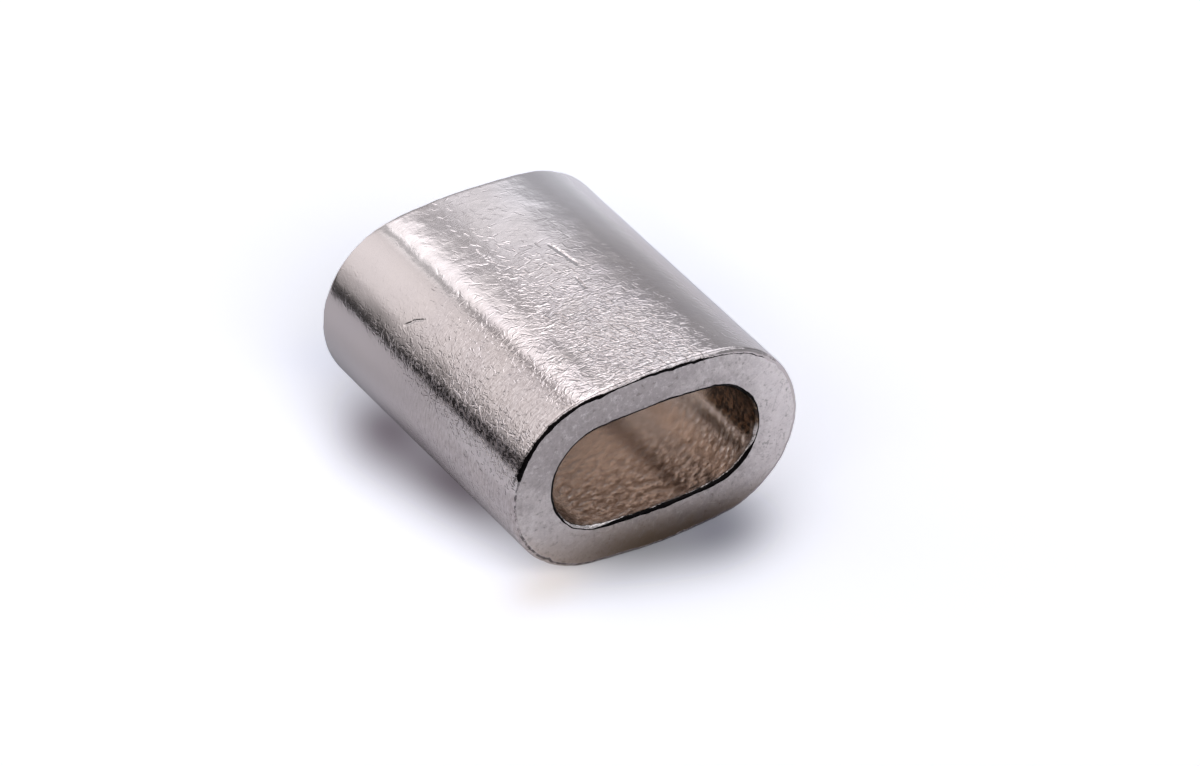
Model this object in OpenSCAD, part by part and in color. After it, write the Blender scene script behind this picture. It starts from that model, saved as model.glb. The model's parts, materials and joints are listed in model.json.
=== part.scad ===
// Oval wire rope ferrule: a short length of thick oval tube that two legs of
// a rope pass through side by side before it is pressed down on them.
// It lies on one of its flats. X runs across the two legs, Y along the
// passage, Z up. The origin is at the middle of the flat that it lies on.

/* [Rope passage] */
// Diameter of the wire rope that the ferrule is made for
rope_d = 2; // [1:0.1:6]
// Play of one rope leg across its seat, measured on the diameter
rope_play = 0.25; // [0.1:0.05:0.8]
// Gap between the two rope legs when they lie in their seats
leg_gap = 0.05; // [0:0.05:1]

/* [Wall] */
// Thickness of the wall over the two flats
flat_wall = 0.825; // [0.4:0.025:1.5]
// Thickness of the wall round the two half-round ends
end_wall = 0.9; // [0.4:0.025:3]
// Length of the ferrule along the passage
sleeve_l = 7; // [3:0.1:30]

/* [Rims] */
// Radius that tumbling leaves on the outer edge of each cut end
outer_rim_r = 0.08; // [0.04:0.01:0.15]
// Radius on the edge where the rope goes in
mouth_rim_r = 0.05; // [0.03:0.01:0.12]

/* [Hidden] */
$fn = 96;
half_turn = 180;
quarter_turn = 90;

// The passage: two half-round seats joined by flats
seat_d = rope_d + rope_play;
seat_r = seat_d / 2;
seat_pitch = rope_d + leg_gap;
passage_w = seat_pitch + seat_d;

// The outside of the wall, with centres of its own because the flats are thinner
sleeve_h = seat_d + 2 * flat_wall;
sleeve_w = passage_w + 2 * end_wall;
end_r = sleeve_h / 2;
end_pitch = sleeve_w - sleeve_h;

// How far the passage's cutter runs out past both cut ends
overrun = 1;

// Half of a lengthwise section through a bar: X is the distance from its axis,
// Y runs along it. Both of its outer corners are rounded.
module rounded_bar_section(reach, length, rim) {
    for (end = [-1, 1])
        translate([0, end * (length / 2 - rim)])
            intersection() {
                translate([reach - rim, 0]) circle(rim);
                translate([0, -rim]) square([reach, 2 * rim]);
            }
    translate([0, -length / 2]) square([reach - rim, length]);
    translate([0, rim - length / 2]) square([reach, length - 2 * rim]);
}

// Half of a lengthwise section through the passage, which opens out at both
// mouths by a quarter round and runs on past the cut ends.
module passage_section(reach, length, rim) {
    translate([0, -length / 2 - overrun]) square([reach, length + 2 * overrun]);
    for (end = [-1, 1])
        difference() {
            translate([0, end > 0 ? length / 2 - rim : -length / 2 - overrun])
                square([reach + rim, rim + overrun]);
            translate([reach + rim, end * (length / 2 - rim)]) circle(rim);
        }
}

// Takes a lengthwise section round an oval: a half turn at each end and a
// straight run between them, on both sides. The axis stands along Z.
module round_the_oval(pitch) {
    for (side = [-1, 1])
        translate([side * pitch / 2, 0, 0])
            rotate([0, 0, side > 0 ? -quarter_turn : quarter_turn])
                rotate_extrude(angle = half_turn) children();
    translate([-pitch / 2, 0, 0])
        rotate([quarter_turn, 0, quarter_turn])
            linear_extrude(height = pitch) {
                children();
                mirror([1, 0]) children();
            }
}

// The ferrule, laid down on one flat with its passage along Y
module ferrule() {
    color([0.80, 0.76, 0.73])
        translate([0, 0, sleeve_h / 2])
            rotate([quarter_turn, 0, 0])
                difference() {
                    round_the_oval(end_pitch)
                        rounded_bar_section(end_r, sleeve_l, outer_rim_r);
                    round_the_oval(seat_pitch)
                        passage_section(seat_r, sleeve_l, mouth_rim_r);
                }
}

ferrule();
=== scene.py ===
# Oval wire rope ferrule: one thick oval sleeve, tumbled and nickel plated, lying on
# its flat on white paper under soft studio light.
import json
import math

import bpy
import numpy as np
from mathutils import Matrix, Vector, noise


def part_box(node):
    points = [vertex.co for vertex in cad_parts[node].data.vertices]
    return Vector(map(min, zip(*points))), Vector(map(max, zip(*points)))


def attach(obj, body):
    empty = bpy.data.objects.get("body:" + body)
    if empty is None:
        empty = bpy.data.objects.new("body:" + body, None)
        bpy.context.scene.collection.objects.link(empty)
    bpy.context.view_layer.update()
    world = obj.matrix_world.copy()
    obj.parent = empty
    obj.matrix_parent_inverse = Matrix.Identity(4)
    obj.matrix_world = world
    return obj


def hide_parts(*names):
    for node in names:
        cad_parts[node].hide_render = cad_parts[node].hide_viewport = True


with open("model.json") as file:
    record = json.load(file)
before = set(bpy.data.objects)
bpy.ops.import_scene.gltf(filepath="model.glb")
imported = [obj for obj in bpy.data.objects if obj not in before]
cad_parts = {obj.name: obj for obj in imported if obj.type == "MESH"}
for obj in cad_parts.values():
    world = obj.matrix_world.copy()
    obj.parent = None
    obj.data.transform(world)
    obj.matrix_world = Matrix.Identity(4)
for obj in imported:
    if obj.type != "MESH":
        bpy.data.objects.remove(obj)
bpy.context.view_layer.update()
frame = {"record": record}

MM = 0.001

# The two ends of the sleeve: which way each looks along Y
FRONT, BACK = -1, 1

# The sleeve, in millimetres, from the frame's box and its right rope seat
low_corner, high_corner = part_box("ferrule")
sleeve_w, sleeve_l, sleeve_h = (high_corner - low_corner) / MM
mounts = {mount["name"]: mount for mount in frame["record"]["mounts"]}
seat = mounts["rope_seat_right"]
seat_r = seat["dims"]["r_mm"]
passage_h = 2 * seat_r
passage_w = 2 * (seat["pos_m"][0] / MM + seat_r)

# How far pressing and tumbling left it from its drawing
flat_crown = 0.057
passage_crown = 0.053
passage_lift = 0.03
face_dome = 0.02
outer_rim_r = 0.1
mouth_rim_r = 0.075

# Steps of the mesh round the section and along the wall
end_steps = 124
flat_steps = 44
skin_steps = 130
passage_steps = 84
face_steps = 12
outer_rim_steps = 8
mouth_rim_steps = 6


class Wire:
    """A number that comes out of a node. Python's arithmetic on it adds Math nodes."""

    def __init__(self, graph, socket):
        self.graph = graph
        self.socket = socket

    def __add__(self, other):
        return self.graph.maths("ADD", self, other)

    def __sub__(self, other):
        return self.graph.maths("SUBTRACT", self, other)

    def __mul__(self, other):
        return self.graph.maths("MULTIPLY", self, other)

    def __truediv__(self, other):
        return self.graph.maths("DIVIDE", self, other)

    def __radd__(self, other):
        return self.graph.maths("ADD", other, self)

    def __rsub__(self, other):
        return self.graph.maths("SUBTRACT", other, self)

    def __rmul__(self, other):
        return self.graph.maths("MULTIPLY", other, self)

    def __rtruediv__(self, other):
        return self.graph.maths("DIVIDE", other, self)

    def __abs__(self):
        return self.graph.maths("ABSOLUTE", self)

    def output(self, name):
        """Another output of the node that this number comes from."""
        return Wire(self.graph, self.socket.node.outputs[name])


class Graph:
    """The nodes of one material or of the world."""

    def __init__(self, owner):
        owner.use_nodes = True
        self.tree = owner.node_tree
        self.tree.nodes.clear()

    def node(self, kind, settings=None, sockets=None, out=0):
        """Adds a node: its settings first, then the values or wires of its sockets."""
        made = self.tree.nodes.new("ShaderNode" + kind)
        for name, value in (settings or {}).items():
            if name == "stops":
                self.set_stops(made.color_ramp, value)
            else:
                setattr(made, name, value)
        for name, value in (sockets or {}).items():
            if isinstance(value, Wire):
                self.tree.links.new(value.socket, made.inputs[name])
            else:
                made.inputs[name].default_value = value
        return Wire(self, made.outputs[out]) if made.outputs else made

    def set_stops(self, ramp, stops):
        """Gives a colour ramp its stops: pairs of place and grey level."""
        while len(ramp.elements) > 1:
            ramp.elements.remove(ramp.elements[-1])
        for index, (place, level) in enumerate(stops):
            stop = ramp.elements[0] if index == 0 else ramp.elements.new(place)
            stop.position = place
            stop.color = (level, level, level, 1)

    def maths(self, operation, first, second=0.0, clamp=False):
        """Works on one or two numbers. With clamp, the result stays from 0 to 1."""
        settings = {"operation": operation, "use_clamp": clamp}
        return self.node("Math", settings, {0: first, 1: second})

    def larger(self, first, second):
        return self.maths("MAXIMUM", first, second)

    def vector(self, operation, first, second=(0, 0, 0), out=0):
        """Works on one or two vectors."""
        return self.node("VectorMath", {"operation": operation}, {0: first, 1: second}, out)

    def scaled(self, vector, factor):
        return self.node("VectorMath", {"operation": "SCALE"}, {0: vector, "Scale": factor})

    def dot(self, first, second):
        return self.vector("DOT_PRODUCT", first, second, "Value")

    def length(self, vector):
        return self.vector("LENGTH", vector, out="Value")

    def axes(self, vector):
        """The three numbers of a vector."""
        x = self.node("SeparateXYZ", {}, {0: vector}, "X")
        return x, x.output("Y"), x.output("Z")

    def step(self, value, start, end, low=0.0, high=1.0):
        """Goes smoothly from low to high while value goes from start to end."""
        sockets = {"Value": value, "From Min": start, "From Max": end, "To Min": low, "To Max": high}
        return self.node("MapRange", {"interpolation_type": "SMOOTHSTEP"}, sockets)

    def between(self, value, start, end, soft):
        """1 where value lies between start and end, with edges that reach soft both ways."""
        return self.step(value, start - soft, start + soft) * self.step(value, end + soft, end - soft)

    def mix(self, share, first, second):
        """Mixes two colours."""
        settings = {"data_type": "RGBA", "blend_type": "MIX"}
        return self.node("Mix", settings, {0: share, 6: first, 7: second}, 2)

    def noise(self, place, scale, detail=2.0, roughness=0.5, distortion=0.0):
        sockets = {"Vector": place, "Scale": scale, "Detail": detail, "Roughness": roughness}
        sockets["Distortion"] = distortion
        return self.node("TexNoise", {}, sockets)

    def strayed(self, place, scale, reach):
        """A place that strays a little, so that a pattern there has no straight lines."""
        stray = self.node("TexNoise", {}, {"Vector": place, "Scale": scale, "Detail": 2.0}, "Color")
        return self.vector("ADD", place, self.scaled(stray, reach))

    def finish_surface(self, shader, output="OutputMaterial"):
        self.node(output, {}, {"Surface": shader})


def place_in_mm(graph):
    """Where a point lies, in millimetres from the ferrule's origin."""
    return graph.scaled(graph.node("TexCoord", out="Object"), 1 / MM)


def walk_oval(width, height, crown):
    """Points and outward normals round an oval of four arcs: two round ends and two
    flats that rise by crown. The walk starts at the middle of the lower flat."""
    half_flat = (width - height) / 2
    flat_r = (half_flat**2 + crown**2) / (2 * crown)
    drop = flat_r - height / 2
    end_r = (flat_r**2 - (width / 2) ** 2 - drop**2) / (2 * (flat_r - width / 2))
    end_x = width / 2 - end_r
    meet = math.atan2(drop, end_x)
    bottom = -math.pi / 2
    arcs = [
        (bottom, -meet, flat_steps // 2, flat_r, 0, drop),
        (-meet, meet, end_steps, end_r, end_x, 0),
        (meet, math.pi - meet, flat_steps, flat_r, 0, -drop),
        (math.pi - meet, math.pi + meet, end_steps, end_r, -end_x, 0),
        (math.pi + meet, bottom + 2 * math.pi, flat_steps // 2, flat_r, 0, drop),
    ]
    points, normals = [], []
    for start, end, steps, radius, centre_x, centre_z in arcs:
        angle = start + (end - start) * np.arange(steps) / steps
        out = np.stack([np.cos(angle), np.sin(angle)], 1)
        points.append(radius * out + (centre_x, centre_z))
        normals.append(out)
    return np.concatenate(points), np.concatenate(normals)


# Lumps that tumbling left, by size in millimetres: on the rims as a share of their
# radius, and on the whole wall in millimetres
RIM_LUMPS = ((0.9, 0.22), (0.22, 0.16), (0.1, 0.12))
WALL_LUMPS = ((0.9, 0.004), (0.33, 0.0015))

# Each seed has lumps of its own: how far they lie from those of the next seed, and
# where the seeds of the rims, the mouths and the wall start
LUMP_SHIFT = (7.3, 3.1, 5.7)
RIM_SEED = 2
MOUTH_SEED = 12
WALL_SEED = 21


def lumps(points, layers, seed):
    """How far smooth lumps of several sizes rise or sink together at each point."""
    rise = np.zeros(len(points))
    for layer_seed, (size, height) in enumerate(layers, seed):
        shift = Vector([layer_seed * apart for apart in LUMP_SHIFT])
        rise += height * np.array([noise.noise(Vector(point) / size + shift) for point in points])
    return rise


def in_space(flat, y):
    """Puts points of the section at their place along the sleeve."""
    return np.stack([flat[:, 0], np.broadcast_to(y, len(flat)), flat[:, 1]], 1)


# Nicks in the front rims: where they are across and up, their reach and how much
# wider the rim is there
OUTER_NICKS = (
    (0.36, 1.95, 0.07, 0.35),
    (0.87, 1.93, 0.05, 0.3),
    (-1.16, 1.93, 0.09, 0.4),
    (-2.33, -1.41, 0.05, 0.6),
)
MOUTH_NICKS = (
    (1.26, 1.13, 0.05, 0.9),
    (-1.74, -0.85, 0.1, 0.25),
    (0.2, -1.1, 0.12, 0.3),
)


def rim_radii(radius, outline, seed, nicks):
    """The radius of a rim all the way round, at the front and at the back, a little
    uneven as tumbling left it. Each comes as a column."""
    radii = {}
    for end in (FRONT, BACK):
        uneven = 1 + lumps(in_space(outline, end * sleeve_l), RIM_LUMPS, seed + end)
        for across, up, reach, extra in nicks if end == FRONT else ():
            apart = np.linalg.norm(outline - (across, up), axis=1)
            uneven = uneven + extra * np.exp(-((apart / reach) ** 2))
        radii[end] = radius * uneven[:, None]
    return radii


def wall_rings(outer, outer_out, inner, inner_out):
    """Rings of points once round the wall: front rim, skin, back rim, back face, back
    mouth, passage, front mouth, front face. Each comes with its normals, its part and
    its lean, which is 0 on the face and 1 on the skin and in the passage."""
    rim = rim_radii(outer_rim_r, outer, RIM_SEED, OUTER_NICKS)
    lip = rim_radii(mouth_rim_r, inner, MOUTH_SEED, MOUTH_NICKS)
    skin = (outer, outer_out, rim, "skin")
    passage = (inner, -inner_out, lip, "passage")
    half = sleeve_l / 2 - face_dome
    rings = []

    def add(flat, y, normal_flat, normal_y, part, lean):
        rings.append((in_space(flat, y), in_space(normal_flat, normal_y), part, lean))

    def rounding(end, wall, turns):
        outline, out, radius, part = wall
        for turn in turns:
            sine, cosine = math.sin(turn), math.cos(turn)
            flat = outline - radius[end] * (1 - sine) * out
            y = end * (half - radius[end][:, 0] * (1 - cosine))
            add(flat, y, out * sine, end * cosine, part, sine)

    def along(first_end, wall, steps):
        outline, out, radius, part = wall
        start, finish = [end * (half - radius[end][:, 0]) for end in (first_end, -first_end)]
        for step in range(1, steps):
            add(outline, start + (finish - start) * (step / steps), out, 0.0, part, 1.0)

    def across_face(end, *walls):
        start, finish = [outline - radius[end] * out for outline, out, radius, _ in walls]
        for step in range(1, face_steps):
            share = step / face_steps
            rise = face_dome * (1 - (2 * share - 1) ** 2)
            add(start + (finish - start) * share, end * (half + rise), outer_out * 0, end, "face", 0.0)

    rim_turns = np.linspace(0, math.pi / 2, outer_rim_steps + 1)
    mouth_turns = np.linspace(0, math.pi / 2, mouth_rim_steps + 1)
    rounding(FRONT, skin, rim_turns)
    along(FRONT, skin, skin_steps)
    rounding(BACK, skin, rim_turns[::-1])
    across_face(BACK, skin, passage)
    rounding(BACK, passage, mouth_turns)
    along(BACK, passage, passage_steps)
    rounding(FRONT, passage, mouth_turns[::-1])
    across_face(FRONT, passage, skin)
    return rings


# The parts of the wall, in the order of their finishes
PARTS = ("skin", "face", "passage")


def ferrule_mesh():
    """The sleeve as one closed skin of quads, a ring for each step along the wall."""
    outer, outer_out = walk_oval(sleeve_w, sleeve_h, flat_crown)
    inner, inner_out = walk_oval(passage_w, passage_h, passage_crown)
    inner = inner + (0, passage_lift)
    rings, normals, parts, leans = zip(*wall_rings(outer, outer_out, inner, inner_out))
    rows, columns = len(rings), len(outer)
    points = np.concatenate(rings)
    points = points + np.concatenate(normals) * lumps(points, WALL_LUMPS, WALL_SEED)[:, None]
    points[:, 2] += sleeve_h / 2
    low = (-sleeve_w / 2, -sleeve_l / 2, 0)
    high = (sleeve_w / 2, sleeve_l / 2, sleeve_h)
    points = np.clip(points, low, high)

    row = np.arange(rows)[:, None]
    column = np.arange(columns)[None, :]
    next_row = (row + 1) % rows
    next_column = (column + 1) % columns
    corners = [
        row * columns + column,
        next_row * columns + column,
        next_row * columns + next_column,
        row * columns + next_column,
    ]
    quads = np.stack(np.broadcast_arrays(*corners), -1).reshape(-1, 4)
    quad_parts = []
    for part, following in zip(parts, parts[1:] + parts[:1]):
        quad_parts.append("face" if "face" in (part, following) else part)

    mesh = bpy.data.meshes.new("ferrule_skin")
    mesh.from_pydata((points * MM).tolist(), [], quads.tolist())
    slots = np.repeat([PARTS.index(part) for part in quad_parts], columns)
    mesh.polygons.foreach_set("material_index", slots.astype(np.int32))
    mesh.polygons.foreach_set("use_smooth", np.ones(len(quads), bool))
    lay_out_sheet(mesh, np.stack(rings), leans, quad_parts)
    mesh.update()
    mesh.validate()
    return mesh


def distances(steps):
    """How far each point lies from the first, from the lengths of the steps between."""
    return np.concatenate([[0], np.cumsum(steps)])


def lay_out_sheet(mesh, rings, leans, quad_parts):
    """Unrolls the wall onto one square sheet: the skin and the passage as two strips,
    and the two faces side by side above them. The same sheet in millimetres, with the
    lean of each corner, is kept for the grain."""
    margin = 0.12
    next_rings = np.roll(rings, -1, 0)
    path = distances(np.linalg.norm(next_rings - rings, axis=2).mean(1))
    arcs, starts, runs = {}, {}, {}
    for part in ("skin", "passage"):
        quads = [index for index, name in enumerate(quad_parts) if name == part]
        middle = rings[quads[len(quads) // 2]]
        arcs[part] = distances(np.linalg.norm(np.roll(middle, -1, 0) - middle, axis=1))
        starts[part] = path[quads[0]]
        runs[part] = path[quads[-1] + 1] - path[quads[0]]
    base = {"skin": margin, "passage": 2 * margin + runs["skin"]}
    face_base = 3 * margin + runs["skin"] + runs["passage"]
    front_face = (margin + sleeve_w / 2, face_base + sleeve_h / 2)
    back_face = (2 * margin + 1.5 * sleeve_w, face_base + sleeve_h / 2)
    sheet = face_base + sleeve_h + margin

    coords = np.zeros((len(quad_parts), rings.shape[1], 4, 2))
    for index, part in enumerate(quad_parts):
        if part == "face":
            shift = back_face if rings[index][0, 1] > 0 else front_face
            flat = [ring[:, (0, 2)] + shift for ring in (rings[index], next_rings[index])]
            turned = [np.roll(ring, -1, 0) for ring in flat]
            coords[index] = np.stack([flat[0], flat[1], turned[1], turned[0]], 1)
            continue
        near, far = [path[end] - starts[part] + base[part] for end in (index, index + 1)]
        left, right = arcs[part][:-1] + margin, arcs[part][1:] + margin
        coords[index, :, :, 0] = np.stack([left, left, right, right], 1)
        coords[index, :, :, 1] = (near, far, far, near)
    layer = mesh.uv_layers.new(name="OFBake")
    layer.data.foreach_set("uv", (coords / sheet).ravel().astype(np.float32))

    lean = np.zeros(coords.shape[:3] + (1,))
    for corner, shift in enumerate((0, 1, 1, 0)):
        lean[:, :, corner, 0] = np.roll(leans, -shift)[:, None]
    grain_sheet = mesh.attributes.new("grain_sheet", "FLOAT_VECTOR", "CORNER")
    grain_sheet.data.foreach_set("vector", np.concatenate([coords, lean], -1).ravel().astype(np.float32))


def grain_place(graph):
    """Where a point lies on the unrolled sheet, in millimetres, and its lean."""
    return graph.node("Attribute", {"attribute_name": "grain_sheet"}, out="Vector")


# Where round the unrolled skin the strokes change from the way that they lie on top to
# the way that they lie on the left, in millimetres, and both ways in radians
LAY_CHANGE = (9.65, 10.25)
LAY_ON_TOP = 0.6
LAY_ON_LEFT = -1.1

# How many radians the ways of single strokes differ, and how far the strokes of one
# seed lie from those of the next
STROKE_SPREAD = 2.0
STROKE_SHIFT = (3.7, 1.9)


def strokes(graph, sheet, per_mm, length, width, seed, rare=False):
    """Short straight dents and ridges from -1 to 1: how many to a millimetre, and half
    of their length and width. Rare ones are mostly weak, and only few are strong."""
    across_sheet, up_sheet = [seed * apart for apart in STROKE_SHIFT]
    shifted = graph.vector("ADD", sheet, (across_sheet, up_sheet, 0))
    cells = {"Vector": shifted, "Scale": per_mm}
    centre = graph.node("TexVoronoi", {"voronoi_dimensions": "2D"}, cells, "Position")
    chance = graph.node("SeparateColor", {}, {0: centre.output("Color")}, "Red")
    round_skin = graph.axes(centre)[0] - across_sheet
    lay = graph.step(round_skin, LAY_CHANGE[0], LAY_CHANGE[1], LAY_ON_TOP, LAY_ON_LEFT)
    turn = (chance - 0.5) * STROKE_SPREAD + lay
    signed = chance.output("Green") * 2 - 1
    if rare:
        signed = signed * abs(signed)
    cosine, sine = graph.maths("COSINE", turn), graph.maths("SINE", turn)
    right, up, _ = graph.axes(graph.vector("SUBTRACT", shifted, centre))
    along = abs(right * cosine + up * sine)
    across = abs(up * cosine - right * sine)
    return signed * graph.step(along, length, 0.4 * length) * graph.step(across, width, 0)


# The layers of strokes that tumbling beat into the skin: how many to a millimetre,
# half of their length, half of their width, seed, whether they are rare, and how deep
# they are in millimetres
STROKE_LAYERS = (
    (4.8, 0.140, 0.030, 0, True, 0.0096),
    (6.5, 0.105, 0.024, 1, True, 0.0106),
    (9.0, 0.075, 0.019, 2, False, 0.0056),
    (13.0, 0.050, 0.015, 3, False, 0.0028),
)


def crumple(graph, place, sheet):
    """The fine crumpled grain of the plated skin, in millimetres. It is strongest
    toward the front and on the left, where the media struck it most."""
    strayed = graph.strayed(sheet, 6.0, 0.045)
    x, y, _ = graph.axes(place)
    crisp = graph.step(y - 0.8 * graph.step(x, -1.9, -2.2), 3.0, -1.5, 0.1, 1.0)
    flat = graph.step(x, -2.0, -1.3, 0.4, 1.15) * graph.step(y, 3.0, 0.5, 0.6, 1.0)
    top, left = [wrinkles(graph, strayed, lay) for lay in (LAY_ON_TOP, LAY_ON_LEFT)]
    wavy = top + (left - top) * graph.step(x, -1.4, -1.9)
    height = 0.003 * graph.noise(strayed, 9.0, 3.0, 0.65) + 0.0016 * wavy
    for per_mm, length, width, seed, rare, depth in STROKE_LAYERS:
        layer = depth * strokes(graph, strayed, per_mm, length, width, seed, rare)
        height = height + layer * (flat if rare else crisp)
    return height * struck(graph, x, y) + 0.006 * graph.noise(place, 2.6, 3.0, 0.55)


# How many wrinkles there are to a millimetre along their lay and across it
WRINKLES_ALONG, WRINKLES_ACROSS = 5, 14


def wrinkles(graph, sheet, lay):
    """Fine wavy wrinkles from 0 to 1 that lie one way, in radians as for the strokes."""
    cosine, sine = math.cos(lay), math.sin(lay)
    along = graph.dot(sheet, (WRINKLES_ALONG * cosine, WRINKLES_ALONG * sine, 0))
    across = graph.dot(sheet, (-WRINKLES_ACROSS * sine, WRINKLES_ACROSS * cosine, 0))
    drawn_out = graph.node("CombineXYZ", {}, {0: along, 1: across})
    return graph.noise(drawn_out, 1.0, 2.0, 0.5, 0.3)


def struck(graph, x, y):
    """How hard the media struck the skin there: from near 0 at the far right to about
    1 on the flat and more at the front."""
    lengthwise = graph.step(y, 2.6, -3.2, 0.25, 1.6)
    right = graph.step(x + graph.step(y, -3.0, -0.5, 0.0, 0.35), 0.4, 1.55, 1.0, 0.12)
    left = graph.step(x, -1.8, -2.2, 1.0, 1.35) * graph.step(x, -2.86, -2.98, 1.0, 0.5)
    upper_flank = 1 - 0.5 * (graph.between(x, -2.5, -1.9, 0.15) * graph.step(y, -0.5, -2.5))
    shoulder = 1 - graph.step(y, -3.0, 0.0, 0.55, 0.78) * graph.between(x, -1.75, -0.80, 0.2)
    front = 1 + 0.35 * (graph.between(x, -0.7, 1.2, 0.3) * graph.step(y, 0.3, -1.3))
    return lengthwise * right * left * upper_flank * shoulder * front


def scratch(graph, place, start, end, width, depth):
    """A groove from start to end that runs out at both ends, in millimetres."""
    start, end = Vector(start), Vector(end)
    run = end - start
    from_start = graph.vector("SUBTRACT", place, tuple(start))
    share = graph.dot(from_start, tuple(run / run.length_squared))
    share = graph.maths("MULTIPLY", share, 1.0, clamp=True)
    distance = graph.length(graph.vector("SUBTRACT", from_start, graph.scaled(tuple(run), share)))
    runs_out = graph.maths("MULTIPLY", share * (1 - share), 6.0, clamp=True)
    return graph.step(distance, width, 0.0) * runs_out * -depth


def dimple(graph, place, centre, reach, depth):
    """A small round pit, in millimetres."""
    distance = graph.length(graph.vector("SUBTRACT", place, centre))
    return graph.step(distance, reach, 0.0) * -depth


# Scratches on the skin: both ends, half of the width and the depth
SKIN_SCRATCHES = (
    ((-2.60, 1.12, 3.15), (-2.45, 0.92, 3.34), 0.045, 0.020),
    ((-2.49, 1.02, 3.29), (-2.34, 0.74, 3.42), 0.038, 0.016),
    ((0.48, 1.08, 3.89), (0.61, 0.12, 3.88), 0.070, 0.013),
    ((0.35, -0.11, 3.89), (0.30, -0.62, 3.90), 0.045, 0.012),
)

# Dimples: the middle, the reach and the depth
SKIN_DIMPLES = (
    ((1.29, -2.10, 3.82), 0.035, 0.010),
    ((1.22, -2.40, 3.83), 0.030, 0.010),
    ((-1.23, -2.21, 3.83), 0.040, 0.012),
)

# Patches of painted shade, two on the left and one above it at the front: where, how
# far they reach and how dark they are
SKIN_PAINTED_SHADES = (
    ((-2.70, 1.85, 3.04), (0.24, 0.80, 0.18), 0.36),
    ((-2.66, -0.35, 3.09), (0.26, 0.60, 0.20), 0.30),
    ((-1.00, -2.60, 3.87), (0.16, 1.70, 0.30), 0.35),
)


def metal(name):
    """A new finish of the metal, and its nodes."""
    material = bpy.data.materials.new(name)
    return material, Graph(material)


def principled(graph, colour, roughness, normal):
    """Makes the surface bare metal."""
    sockets = {"Base Color": colour, "Metallic": 1.0, "Roughness": roughness, "Normal": normal}
    graph.finish_surface(graph.node("BsdfPrincipled", {}, sockets))


def raised(graph, height):
    """The normal that a height in millimetres gives."""
    return graph.node("Bump", {}, {"Strength": 1.0, "Distance": MM, "Height": height})


# Painted shade: the colour of the dark lines along the rims and mouths
PAINTED_DARK_EDGE = (0.006, 0.005, 0.005, 1)


def painted_edge_line(graph, place, sheet, low, high, side, uneven=0.6):
    """Where a dark line of painted shade lies along a rounded edge that mirrors the dark:
    between two leans, ragged, on the sides where side is 1."""
    lean = graph.axes(sheet)[2]
    ragged = lean + uneven * (graph.noise(place, 4.0, 5.0, 0.8) - 0.5)
    return graph.between(ragged, low, high, 0.04) * side


# The side of the section that the left corner near the paper looks to: across and up
LOW_LEFT = (-0.9, -0.45)


def toward_side(graph, place, across, up):
    """How far a point lies toward one side of the section, in millimetres."""
    off = graph.vector("SUBTRACT", place, (0, 0, sleeve_h / 2))
    return graph.dot(off, (across, 0, up))


# Tints of the skin: clear, clouded and soiled nickel, scuffs tinted lighter and darker
# as partly wear and partly painted highlight and shade, the hair lines of the flank, a
# painted dark band and painted light and shade along the left shoulder, painted light
# toward the back, on the far sides and low on the flank, and patches of painted shade
CLEAR_SKIN = (0.63, 0.56, 0.54, 1)
CLOUDED_SKIN = (0.60, 0.535, 0.525, 1)
SOILED_SKIN = (0.40, 0.35, 0.34, 1)
LIGHT_SCUFF_AND_SHEEN = (0.80, 0.73, 0.71, 1)
DARK_SCUFF_AND_SHADE = (0.36, 0.31, 0.30, 1)
BRIGHT_HAIR = (0.82, 0.76, 0.75, 1)
DARK_HAIR = (0.38, 0.33, 0.32, 1)
PAINTED_DARK_BAND = (0.13, 0.11, 0.11, 1)
PAINTED_LIGHT_SKIN = (0.88, 0.81, 0.79, 1)
PAINTED_LIGHT_FAR_SIDES = (1.0, 0.95, 0.96, 1)
PAINTED_LIGHT_FAR_CREASE = (1.0, 0.93, 0.91, 1)
PAINTED_SKIN_SHADE = (0.20, 0.18, 0.17, 1)

# Fine scuffs that show on the skin as tint alone, lighter and darker, partly wear and
# partly painted highlight and shade: how many to a millimetre, half of their length,
# half of their width and seed
SCUFF_LAYERS = (
    (7.0, 0.11, 0.019, 11),
    (10.0, 0.08, 0.016, 12),
    (13.0, 0.06, 0.014, 13),
)


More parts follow.
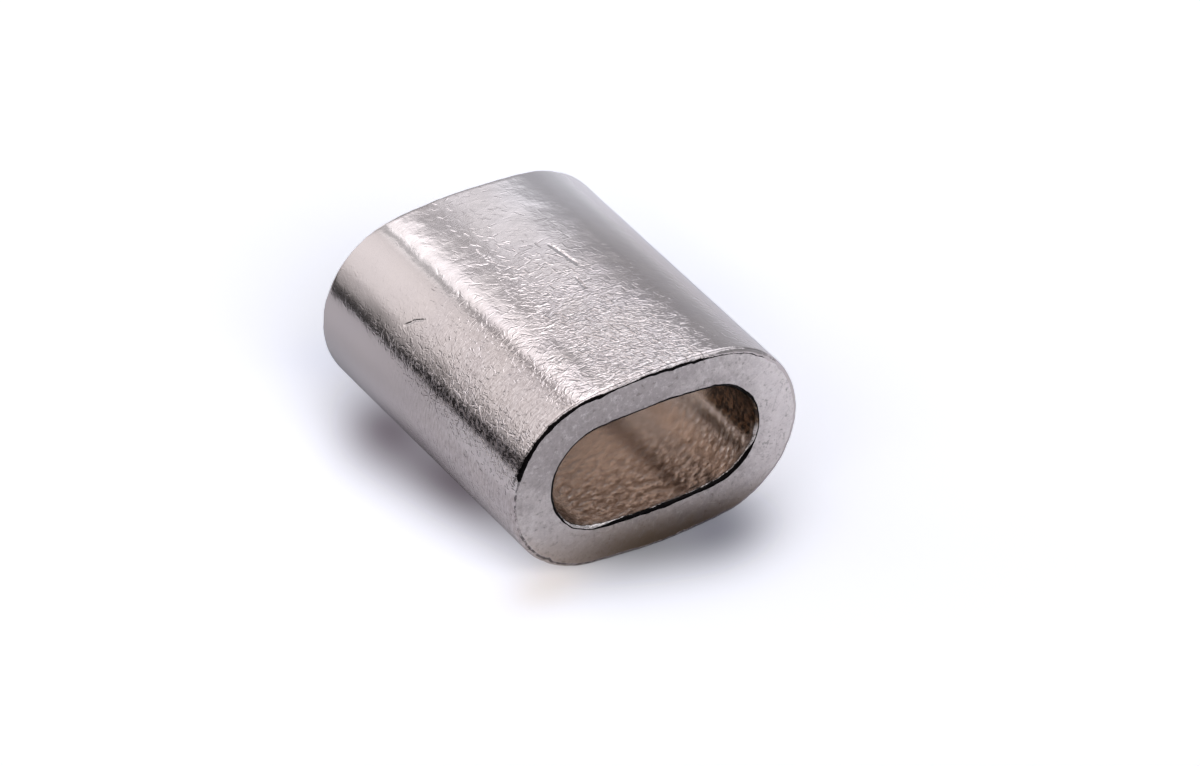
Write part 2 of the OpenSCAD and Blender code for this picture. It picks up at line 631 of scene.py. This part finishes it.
def skin_tint(graph, place, sheet, grain):
    """The colour of the skin, all but the dark lines of its edges."""
    x, y, z = graph.axes(place)
    cloud = graph.noise(place, 1.3, 2.0, 0.5)
    colour = graph.mix(graph.step(cloud, 0.3, 0.7), CLEAR_SKIN, CLOUDED_SKIN)
    colour = graph.mix(graph.step(grain, 0.006, -0.002, 0.0, 0.25), colour, SOILED_SKIN)
    flank = graph.step(x, -1.6, -2.4) * graph.step(y, 2.0, -1.5)
    scuffs = sum(strokes(graph, sheet, *layer) for layer in SCUFF_LAYERS) * struck(graph, x, y)
    scuffs = scuffs * (1 - 0.6 * (flank * graph.step(z, 2.75, 2.35)))
    # Scuffs tinted lighter and darker: partly wear, partly painted highlight and shade
    colour = graph.mix(graph.step(scuffs, 0.0, 0.8, 0.0, 0.45), colour, LIGHT_SCUFF_AND_SHEEN)
    colour = graph.mix(graph.step(scuffs, 0.0, -0.8, 0.0, 0.45), colour, DARK_SCUFF_AND_SHADE)
    hairs = graph.noise(graph.vector("MULTIPLY", sheet, (6.0, 24.0, 0.0)), 1.0, 3.0, 0.6)
    colour = graph.mix(graph.step(hairs, 0.5, 0.64, 0.0, 0.5) * flank, colour, BRIGHT_HAIR)
    colour = graph.mix(graph.step(hairs, 0.5, 0.36, 0.0, 0.5) * flank, colour, DARK_HAIR)
    # Painted shade: a dark band along the left flank, where it mirrors the dark horizon
    painted_band_mask = graph.between(z, 2.71, 2.91 + graph.step(y, -0.5, -3.0, 0.0, 0.07), 0.08)
    painted_band_mask = painted_band_mask * graph.step(x, -2.0, -2.6) * graph.step(y, 2.0, -0.5, 0.0, 0.88)
    colour = graph.mix(painted_band_mask, colour, PAINTED_DARK_BAND)
    # Painted shade: a dark line along the left shoulder toward the front
    painted_crease_shade = graph.between(x, -1.82, -1.64, 0.08) * graph.step(y, -0.5, -3.0, 0.0, 0.35)
    colour = graph.mix(painted_crease_shade, colour, DARK_SCUFF_AND_SHADE)
    # Painted light: the skin turns lighter toward the back
    colour = graph.mix(graph.step(y, -1.5, 3.0, 0.0, 0.4), colour, PAINTED_LIGHT_SKIN)
    # Painted light on the right and low sides toward the back
    painted_far_sides = graph.larger(graph.step(x, 0.2, 1.2, 0.0, 0.6), graph.step(z, 2.2, 1.3))
    painted_far_sides = painted_far_sides * graph.step(y, 0.0, 3.2, 0.0, 0.85)
    colour = graph.mix(painted_far_sides, colour, PAINTED_LIGHT_FAR_SIDES)
    # Painted light along the left shoulder toward the back
    painted_far_crease_light = graph.between(x, -1.82, -1.60, 0.08) * graph.step(y, -0.5, 2.5, 0.0, 0.8)
    colour = graph.mix(painted_far_crease_light, colour, PAINTED_LIGHT_FAR_CREASE)
    # Painted light low on the left flank toward the front
    painted_low_flank_light = graph.between(z, 2.25, 2.68, 0.08) * graph.step(x, -2.2, -2.6)
    colour = graph.mix(painted_low_flank_light * graph.step(y, 0.0, -2.0, 0.0, 0.5), colour, PAINTED_LIGHT_SKIN)
    # Patches of painted shade
    for centre, reach, depth in SKIN_PAINTED_SHADES:
        off = graph.vector("DIVIDE", graph.vector("SUBTRACT", place, centre), reach)
        colour = graph.mix(graph.step(graph.length(off), 1.0, 0.1, 0.0, depth), colour, PAINTED_SKIN_SHADE)
    return colour


def painted_skin_edge_lines(graph, place, sheet):
    """Lines of painted shade round the outer rims, where they mirror the dark: a thick one
    above with a hairline beside it, and a broken one low on the left."""
    x, y, _ = graph.axes(place)
    over = toward_side(graph, place, -0.15, 0.99)
    above = graph.step(over, 0.96, 1.02)
    thick = graph.step(x, -2.8, 1.8, 0.80, 0.40) * graph.step(over, 0.94, 1.12, 0.3, 1.0)
    thin = graph.between(x, -1.05, -0.35, 0.12) + graph.step(x, 1.0, 1.3)
    thick = thick * (1 - 0.5 * thin) * graph.step(y, -1.0, 1.0, 1.0, 0.4)
    line = painted_edge_line(graph, place, sheet, -0.1, thick, above, 0.8)
    painted_hairline = painted_edge_line(graph, place, sheet, 0.84, 0.93, 0.6 * above * graph.step(y, 1.0, -1.0), 0.1)
    # Painted shade, broken into spots, low on the left
    patchy_spots = graph.step(graph.noise(place, 9.0, 3.0, 0.6), 0.36, 0.54)
    patchy_spots = patchy_spots * graph.step(toward_side(graph, place, *LOW_LEFT), 1.5, 2.2)
    painted_low_line = painted_edge_line(graph, place, sheet, 0.06, 0.46, 0.7 * patchy_spots)
    return graph.larger(line, graph.larger(painted_hairline, painted_low_line))


def plated_skin():
    material, graph = metal("nickel plated skin")
    place = place_in_mm(graph)
    sheet = grain_place(graph)
    grain = crumple(graph, place, sheet)
    height = grain
    for start, end, width, depth in SKIN_SCRATCHES:
        height = height + scratch(graph, place, start, end, width, depth)
    for centre, reach, depth in SKIN_DIMPLES:
        height = height + dimple(graph, place, centre, reach, depth)
    colour = skin_tint(graph, place, sheet, grain)
    colour = graph.mix(painted_skin_edge_lines(graph, place, sheet), colour, PAINTED_DARK_EDGE)
    roughness = 0.13 + 0.05 * graph.noise(place, 3.0, 2.0, 0.5)
    principled(graph, colour, roughness, raised(graph, height))
    return material


# Tints of the cut faces: clear and dull nickel, with painted shade on the upper part,
# painted light on the right and in the low left corner, saw lines painted lighter on
# their ridges and darker in their grooves as their light and shade, painted glints,
# pits and specks, and painted shade, dark and brown, toward the bottom
CLEAR_FACE = (0.72, 0.66, 0.64, 1)
DULL_AND_SHADED_FACE = (0.51, 0.46, 0.45, 1)
PAINTED_LIGHT_RIGHT = (0.96, 0.88, 0.86, 1)
PAINTED_LIGHT_CORNER = (0.90, 0.79, 0.72, 1)
PAINTED_SAW_HIGHLIGHT = (0.85, 0.80, 0.78, 1)
PAINTED_SAW_SHADE = (0.38, 0.34, 0.32, 1)
FACE_GLINT = (0.92, 0.87, 0.85, 1)
FACE_PIT = (0.34, 0.30, 0.28, 1)
FACE_SPECK = (0.22, 0.19, 0.17, 1)
PAINTED_LOW_SHADE = (0.33, 0.24, 0.17, 1)

# Saw lines: how many to a millimetre, half of their length, half of their width, seed
SAW_LINES = (
    (3.0, 0.30, 0.018, 7),
    (4.6, 0.2, 0.016, 8),
)


def cut_face():
    material, graph = metal("cut face")
    place = place_in_mm(graph)
    sheet = grain_place(graph)
    lines = sum(strokes(graph, sheet, *layer) for layer in SAW_LINES)
    height = 0.006 * graph.noise(place, 14.0, 3.0, 0.6) + 0.003 * lines
    fine = graph.noise(place, 11.0, 5.0, 0.75)
    cloud = graph.noise(place, 3.2, 5.0, 0.7)
    x, _, z = graph.axes(place)
    # Random dull mottling, with painted shade on the upper part and painted light toward the low left
    painted_upper_shade = graph.step(toward_side(graph, place, -0.45, 0.9), 0.9, 1.3)
    mottle_and_shade = cloud + 0.27 * painted_upper_shade - 0.22 * graph.step(toward_side(graph, place, *LOW_LEFT), 1.5, 2.2)
    colour = graph.mix(graph.step(mottle_and_shade, 0.28, 0.72), CLEAR_FACE, DULL_AND_SHADED_FACE)
    # Painted light on the right
    colour = graph.mix(graph.step(x, 1.5, 2.7, 0.0, 0.6), colour, PAINTED_LIGHT_RIGHT)
    # Painted light in the low left corner
    corner = graph.step(toward_side(graph, place, -0.6, -0.8), 2.0, 2.6, 0.0, 0.5)
    colour = graph.mix(corner, colour, PAINTED_LIGHT_CORNER)
    # Saw lines painted lighter on their ridges and darker in their grooves, as their light and shade
    colour = graph.mix(graph.step(lines, 0.0, 0.9, 0.0, 0.25), colour, PAINTED_SAW_HIGHLIGHT)
    colour = graph.mix(graph.step(lines, 0.0, -0.9, 0.0, 0.3), colour, PAINTED_SAW_SHADE)
    # Painted glints from fine noise, and dark pits
    colour = graph.mix(graph.step(fine, 0.52, 0.66, 0.0, 0.5), colour, FACE_GLINT)
    colour = graph.mix(graph.step(fine, 0.48, 0.34, 0.0, 0.5), colour, FACE_PIT)
    specks = graph.step(graph.noise(place, 9.0, 2.0, 0.5), 0.66, 0.74, 0.0, 0.5)
    colour = graph.mix(specks, colour, FACE_SPECK)
    # Painted shade, dark and brown, toward the bottom, where the face mirrors the shadow at its foot
    painted_low_mask = graph.step(z + 0.12 * x + 0.5 * (cloud - 0.5), 1.15, 0.1) * graph.step(x, -2.6, 0.0, 0.45, 1.0)
    colour = graph.mix(painted_low_mask, colour, PAINTED_LOW_SHADE)
    principled(graph, colour, 0.42, raised(graph, height))
    return material


# How far behind the ends of the sleeve the passage gives way to the mouth's rim, in
# millimetres: where that begins and where it is done
MOUTH_CHANGE = (0.22, 0.08)

# Pebbles of the passage: which way they are drawn out, and how many there are to a
# millimetre that way, across it and up
PEBBLE_LAY = math.radians(34)
PEBBLES_PER_MM = (5.8, 9.4, 9.5)

# Tints of the passage: hollows and tops of the pebbles, the tops painted lighter as their
# highlight, grit between them, painted shade at its low left and beside the painted
# bright streak on the right, the painted dark band, painted shade at the right end, dark
# with brown tufts, and the mouth's rim
PASSAGE_HOLLOW = (0.63, 0.535, 0.475, 1)
PAINTED_PEBBLE_TOPS = (0.99, 0.875, 0.785, 1)
PASSAGE_GRIT = (0.28, 0.21, 0.17, 1)
PASSAGE_SHADE = (0.20, 0.15, 0.12, 1)
PAINTED_PASSAGE_BAND = (0.26, 0.20, 0.17, 1)
PAINTED_DARK_END = (0.02, 0.010, 0.005, 1)
PAINTED_BROWN_END = (0.24, 0.15, 0.09, 1)
PAINTED_BRIGHT_STREAK = (0.96, 0.90, 0.87, 1)
MOUTH_RIM = (0.66, 0.60, 0.57, 1)


def drawn_out(graph, place, lay, per_mm):
    """Turns a place about the upright and scales it, so that a pattern there comes out
    that many times to a millimetre each way."""
    along = (per_mm[0] * math.cos(lay), per_mm[0] * math.sin(lay), 0)
    across = (-per_mm[1] * math.sin(lay), per_mm[1] * math.cos(lay), 0)
    ways = (along, across, (0, 0, per_mm[2]))
    return graph.node("CombineXYZ", {}, {index: graph.dot(place, way) for index, way in enumerate(ways)})


def passage_pebbles(graph, place, depth, x):
    """Pebbly roughness of the passage, about 0.5 where it is smooth."""
    pebble_place = drawn_out(graph, place, PEBBLE_LAY, PEBBLES_PER_MM)
    cells = {"Vector": graph.strayed(pebble_place, 1.0, 0.4), "Scale": 1.0}
    tops = 1 - graph.node("TexVoronoi", {"feature": "SMOOTH_F1"}, cells, "Distance")
    rough = 0.6 * tops + 0.4 * graph.noise(pebble_place, 1.0, 3.0, 0.7)
    strong = graph.step(depth, 1.0, 3.2, 0.2, 1.2) * graph.step(x, 0.8, 1.6, 1.0, 0.7)
    return 0.5 + (rough - 0.55) * strong


def passage_tint(graph, place, depth, pebbles):
    """The colour of the passage behind the rims of its mouths."""
    x, _, z = graph.axes(place)
    # Pebble tops painted lighter, as their highlight
    walls = graph.mix(graph.step(pebbles, 0.38, 0.62), PASSAGE_HOLLOW, PAINTED_PEBBLE_TOPS)
    grit = graph.step(graph.noise(place, 11.0, 3.0, 0.6), 0.52, 0.36) * graph.step(depth, 1.5, 3.2)
    walls = graph.mix(graph.step(x, 0.5, -1.0, 0.40, 0.60) * grit, walls, PASSAGE_GRIT)
    low_end = graph.step(toward_side(graph, place, -0.85, -0.5), 1.55, 2.15)
    walls = graph.mix(0.6 * low_end, walls, PASSAGE_SHADE)
    # Painted shade: a dark band along the passage floor, where it mirrors the shade behind the sleeve
    ragged = x - 0.68 + 0.5 * (pebbles - 0.5)
    from_band = abs(ragged) / graph.step(depth, 1.0, 3.2, 0.42, 0.27)
    painted_band = graph.step(from_band, 1.0, 0.0) * graph.step(depth, 1.0, 3.2, 0.72, 0.95) * graph.step(z, 1.9, 1.6)
    walls = graph.mix(painted_band, walls, PAINTED_PASSAGE_BAND)
    # Painted shade at the right end, dark with brown tufts
    right_end = graph.step(x, 1.6, 1.9) * graph.step(depth, 1.5, 2.1)
    wavy = z + 0.28 * (pebbles - 0.5)
    tufts = graph.step(graph.noise(place, 9.0, 3.0, 0.65), 0.42, 0.60)
    painted_end_shade = graph.mix(tufts, PAINTED_DARK_END, PAINTED_BROWN_END)
    walls = graph.mix(0.93 * (right_end * graph.step(wavy, 1.48, 1.62)), walls, painted_end_shade)
    below = right_end * graph.between(wavy, 1.27, 1.40, 0.04)
    walls = graph.mix(0.75 * below, walls, PASSAGE_SHADE)
    # A painted bright streak, where the passage mirrors light
    painted_streak = right_end * graph.between(wavy, 1.45, 1.51, 0.03)
    return graph.mix(0.8 * painted_streak, walls, PAINTED_BRIGHT_STREAK)


def rope_passage():
    material, graph = metal("rope passage")
    place = place_in_mm(graph)
    x, y, z = graph.axes(place)
    depth = abs(y)
    pebbles = passage_pebbles(graph, place, depth, x)
    walls = passage_tint(graph, place, depth, pebbles)
    begins, done = [sleeve_l / 2 - behind for behind in MOUTH_CHANGE]
    at_mouth = graph.step(depth, begins, done)
    inside = graph.larger(1 - at_mouth, graph.step(x, 1.6, 1.9) * graph.step(z, 1.75, 1.95))
    colour = graph.mix(inside, MOUTH_RIM, walls)
    # A dark line of painted shade along the mouth's edge, thick low down
    thick = graph.step(z, 1.62, 1.28) * graph.step(x, -1.45, -0.7) + graph.step(x, -1.85, -2.05, 0.0, 0.7)
    high = 0.3 + 0.62 * graph.larger(thick, graph.step(z, 2.3, 2.7))
    line = painted_edge_line(graph, place, grain_place(graph), -0.1, high, at_mouth, 0.5)
    colour = graph.mix(line, colour, PAINTED_DARK_EDGE)
    principled(graph, colour, 0.26, raised(graph, 0.036 * pebbles))
    return material


def photo_camera():
    """The photograph's view: its direction, its distance and where it is aimed."""
    turn, rise, roll = math.radians(-30.51), math.radians(35.32), math.radians(-1.108)
    distance = 149.108
    aim_right, aim_up = 0.7543, 1.2647
    pixels_focal = 8000
    picture_w = 1200
    sensor_w = 36
    back = Vector((math.sin(turn) * math.cos(rise), -math.cos(turn) * math.cos(rise), math.sin(rise)))
    level = Vector((math.cos(turn), math.sin(turn), 0))
    upright = back.cross(level)
    right = math.cos(roll) * level + math.sin(roll) * upright
    up = math.cos(roll) * upright - math.sin(roll) * level
    data = bpy.data.cameras.new("camera")
    data.sensor_width = sensor_w
    data.lens = pixels_focal * sensor_w / picture_w
    data.clip_start = 0.01
    data.clip_end = 10
    camera = bpy.data.objects.new("camera", data)
    bpy.context.scene.collection.objects.link(camera)
    place = (aim_right * right + aim_up * up + distance * back) * MM
    turned = Matrix((right, up, back)).transposed().to_4x4()
    camera.matrix_world = Matrix.Translation(place) @ turned
    bpy.context.scene.camera = camera


# Soft shade on the paper round the ferrule: where it lies, how far it reaches both
# ways, how far it is turned, how deep it is to the eye and to a surface that mirrors
# the paper, and its tint
PAPER_SHADES = (
    ((-2.14, 0.08), (0.98, 2.28), 0.13, 0.87, 0.87, (0.07, 0.045, 0.06, 1)),
    ((-0.23, -3.32), (1.90, 1.16), -0.22, 0.73, 0.73, (0.02, 0.02, 0.02, 1)),
    ((-2.34, 2.32), (0.95, 1.40), -0.34, 0.79, 0.50, (0.07, 0.045, 0.06, 1)),
    ((1.31, -3.61), (1.20, 0.96), 0.59, 0.64, 0.64, (0.00, 0.00, 0.03, 1)),
    ((-2.35, -3.50), (0.95, 0.60), 0.40, 0.66, 0.66, (0.70, 0.64, 0.60, 1)),
    ((5.10, 4.40), (1.10, 3.40), 0.0, 0.07, 0.07, (0.10, 0.20, 0.55, 1)),
    ((-2.20, 4.95), (0.90, 0.90), 0.0, 0.12, 0.00, (0.20, 0.26, 0.60, 1)),
    ((0.30, 3.90), (2.30, 0.80), 0.0, 0.50, 0.50, (0.05, 0.04, 0.06, 1)),
    ((0.30, 4.90), (4.00, 1.80), 0.0, 0.00, 0.60, (0.02, 0.02, 0.02, 1)),
)

# The paper and its own glow, as the eye sees them and as the ferrule mirrors them. To
# the ferrule the paper turns dark far out on the left: painted shade that it mirrors
SEEN_PAPER = (0.87, 0.875, 0.96, 1)
SEEN_GLOW = (0.97, 0.98, 1.05, 1)
MIRRORED_PAPER = (0.81, 0.81, 0.885, 1)
MIRRORED_FAR_LEFT = (0.08, 0.08, 0.09, 1)
MIRRORED_GLOW = (0.95, 1.02, 1.15, 1)


def soft_patch(graph, place, centre, reach, turn):
    """A patch that fades outward from its centre, 1 in the middle."""
    cosine, sine = math.cos(turn), math.sin(turn)
    off = graph.vector("SUBTRACT", place, centre + (0,))
    along = graph.dot(off, (cosine / reach[0], sine / reach[0], 0))
    across = graph.dot(off, (-sine / reach[1], cosine / reach[1], 0))
    return graph.maths("EXPONENT", 0 - (along * along + across * across))


def white_paper():
    material = bpy.data.materials.new("white paper")
    graph = Graph(material)
    place = place_in_mm(graph)
    kinds = ("Camera", "Glossy", "Transmission")
    rays = {kind: graph.node("LightPath", out="Is %s Ray" % kind) for kind in kinds}
    mirrored = graph.larger(rays["Glossy"], rays["Transmission"])
    x, y, _ = graph.axes(place)
    mirrored_paper = graph.mix(graph.step(x, -38.0, -14.0), MIRRORED_FAR_LEFT, MIRRORED_PAPER)
    colour = graph.mix(mirrored, SEEN_PAPER, mirrored_paper)
    glow_colour = graph.mix(mirrored, SEEN_GLOW, MIRRORED_GLOW)
    for centre, reach, turn, seen_depth, mirrored_depth, tint in PAPER_SHADES:
        depth = seen_depth + (mirrored_depth - seen_depth) * mirrored
        shade = depth * soft_patch(graph, place, centre, reach, turn)
        colour = graph.mix(shade, colour, tint)
        glow_colour = graph.mix(shade, glow_colour, tint)
    # Painted light: to reflections the paper glows brighter on the right and in front
    painted_glow_beside = graph.step(x, 1.8, 5.5, 0.0, 0.18) + graph.step(y, -3.8, -6.0, 0.0, 0.05)
    strength = graph.step(y, -8.0, 5.0, 0.45, 0.525) * rays["Camera"] + mirrored * painted_glow_beside
    paper = graph.node("BsdfDiffuse", {}, {"Color": colour})
    glow = graph.node("Emission", {}, {"Color": glow_colour, "Strength": strength})
    graph.finish_surface(graph.node("AddShader", {}, {0: paper, 1: glow}))
    return material


def paper_floor():
    """A round sheet of paper, in metres, a hair below the ferrule."""
    radius = 45 * MM
    below = -2e-6
    corners = 96
    angles = [2 * math.pi * corner / corners for corner in range(corners)]
    points = [(radius * math.cos(angle), radius * math.sin(angle), below) for angle in angles]
    mesh = bpy.data.meshes.new("paper_floor")
    mesh.from_pydata(points, [], [tuple(range(corners))])
    floor = bpy.data.objects.new("paper_floor", mesh)
    bpy.context.scene.collection.objects.link(floor)
    mesh.materials.append(white_paper())


# Brightness of the studio round the line of the passage: degrees from +X over the top
STUDIO_RING = (
    (-180, 0.02), (-172, 0.02), (-150, 0.3), (-90, 0.5), (-8, 0.75), (4, 0.62), (12, 0.53),
    (26, 0.48), (40, 0.36), (43, 0.38), (46, 1.00), (59, 1.00), (61.5, 0.38), (66.5, 0.38),
    (68.5, 1.64), (76, 1.56), (82, 1.25), (85, 0.36), (90, 0.36), (92, 0.88), (104, 1.00),
    (120, 1.05), (134, 0.99), (148, 0.93), (156, 0.60), (163, 0.52), (168, 0.42), (172, 0.22),
    (175, 0.05), (180, 0.04),
)

# The studio's tint on the left and on the right, and as the eye sees it
SKY_LEFT = (1.0, 0.985, 1.01, 1)
SKY_RIGHT = (1.0, 1.05, 1.14, 1)
WHITE = (1, 1, 1, 1)


def studio_light():
    """A ring of panels, with a square light overhead and a round one far behind."""
    world = bpy.data.worlds.new("studio")
    bpy.context.scene.world = world
    world.cycles_visibility.diffuse = False
    graph = Graph(world)
    x, y, z = graph.axes(graph.node("TexCoord", out="Generated"))
    ring_place = graph.maths("ARCTAN2", z, x) / (2 * math.pi) + 0.5
    brightest = 2
    stops = [((angle + 180) / 360, level / brightest) for angle, level in STUDIO_RING]
    ring = brightest * graph.node("ValToRGB", {"stops": stops}, {0: ring_place})
    right_panels = graph.between(ring_place, 0.62, 0.76, 0.02)
    lift = graph.step(y, 0.88, 0.53, -0.6, 0.75) * right_panels
    sides = ring * (1 + lift) * graph.step(y, -0.3, 0.2, 0.7, 1.0)
    height = graph.larger(z, 0.05)
    overhead = graph.between(x / height, -1.5, 1.6, 0.15) * graph.between(y / height, -0.52, 0.78, 0.06)
    overhead = overhead * graph.step(z, 0.1, 0.3)
    level = graph.larger(graph.larger(sides, 1.3 * overhead), graph.step(y, 0.88, 0.97))
    camera_ray = graph.node("LightPath", out="Is Camera Ray")
    sky = graph.mix(graph.step(x, -0.2, 0.8), SKY_LEFT, SKY_RIGHT)
    tint = graph.mix(camera_ray, sky, WHITE)
    strength = level + (1 - level) * camera_ray
    graph.finish_surface(graph.node("Background", {}, {"Color": tint, "Strength": strength}), "OutputWorld")


# Lamps that shade the paper: the side they stand on, in degrees from +X over +Y, how
# high, how wide they look and how bright they make white paper
PAPER_LAMPS = ((144, 50, 60, 0.24), (270, 25, 60, 0.80), (200, 20, 60, 0.37))


def paper_lamps():
    for turn, rise, wide, level in PAPER_LAMPS:
        data = bpy.data.lights.new("paper_lamp", "SUN")
        data.angle = math.radians(wide)
        data.energy = math.pi * level
        lamp = bpy.data.objects.new("paper_lamp", data)
        bpy.context.scene.collection.objects.link(lamp)
        turn, rise = math.radians(turn), math.radians(rise)
        toward = Vector((math.cos(rise) * math.cos(turn), math.cos(rise) * math.sin(turn), math.sin(rise)))
        lamp.rotation_euler = toward.to_track_quat("Z", "Y").to_euler()
        lamp.visible_glossy = False


photo_camera()
studio_light()
paper_lamps()
paper_floor()

mesh = ferrule_mesh()
for material in (plated_skin(), cut_face(), rope_passage()):
    mesh.materials.append(material)
ferrule = bpy.data.objects.new("oval_ferrule", mesh)
bpy.context.scene.collection.objects.link(ferrule)
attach(ferrule, "root")
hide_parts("ferrule")

bpy.context.scene.view_settings.view_transform = "Standard"
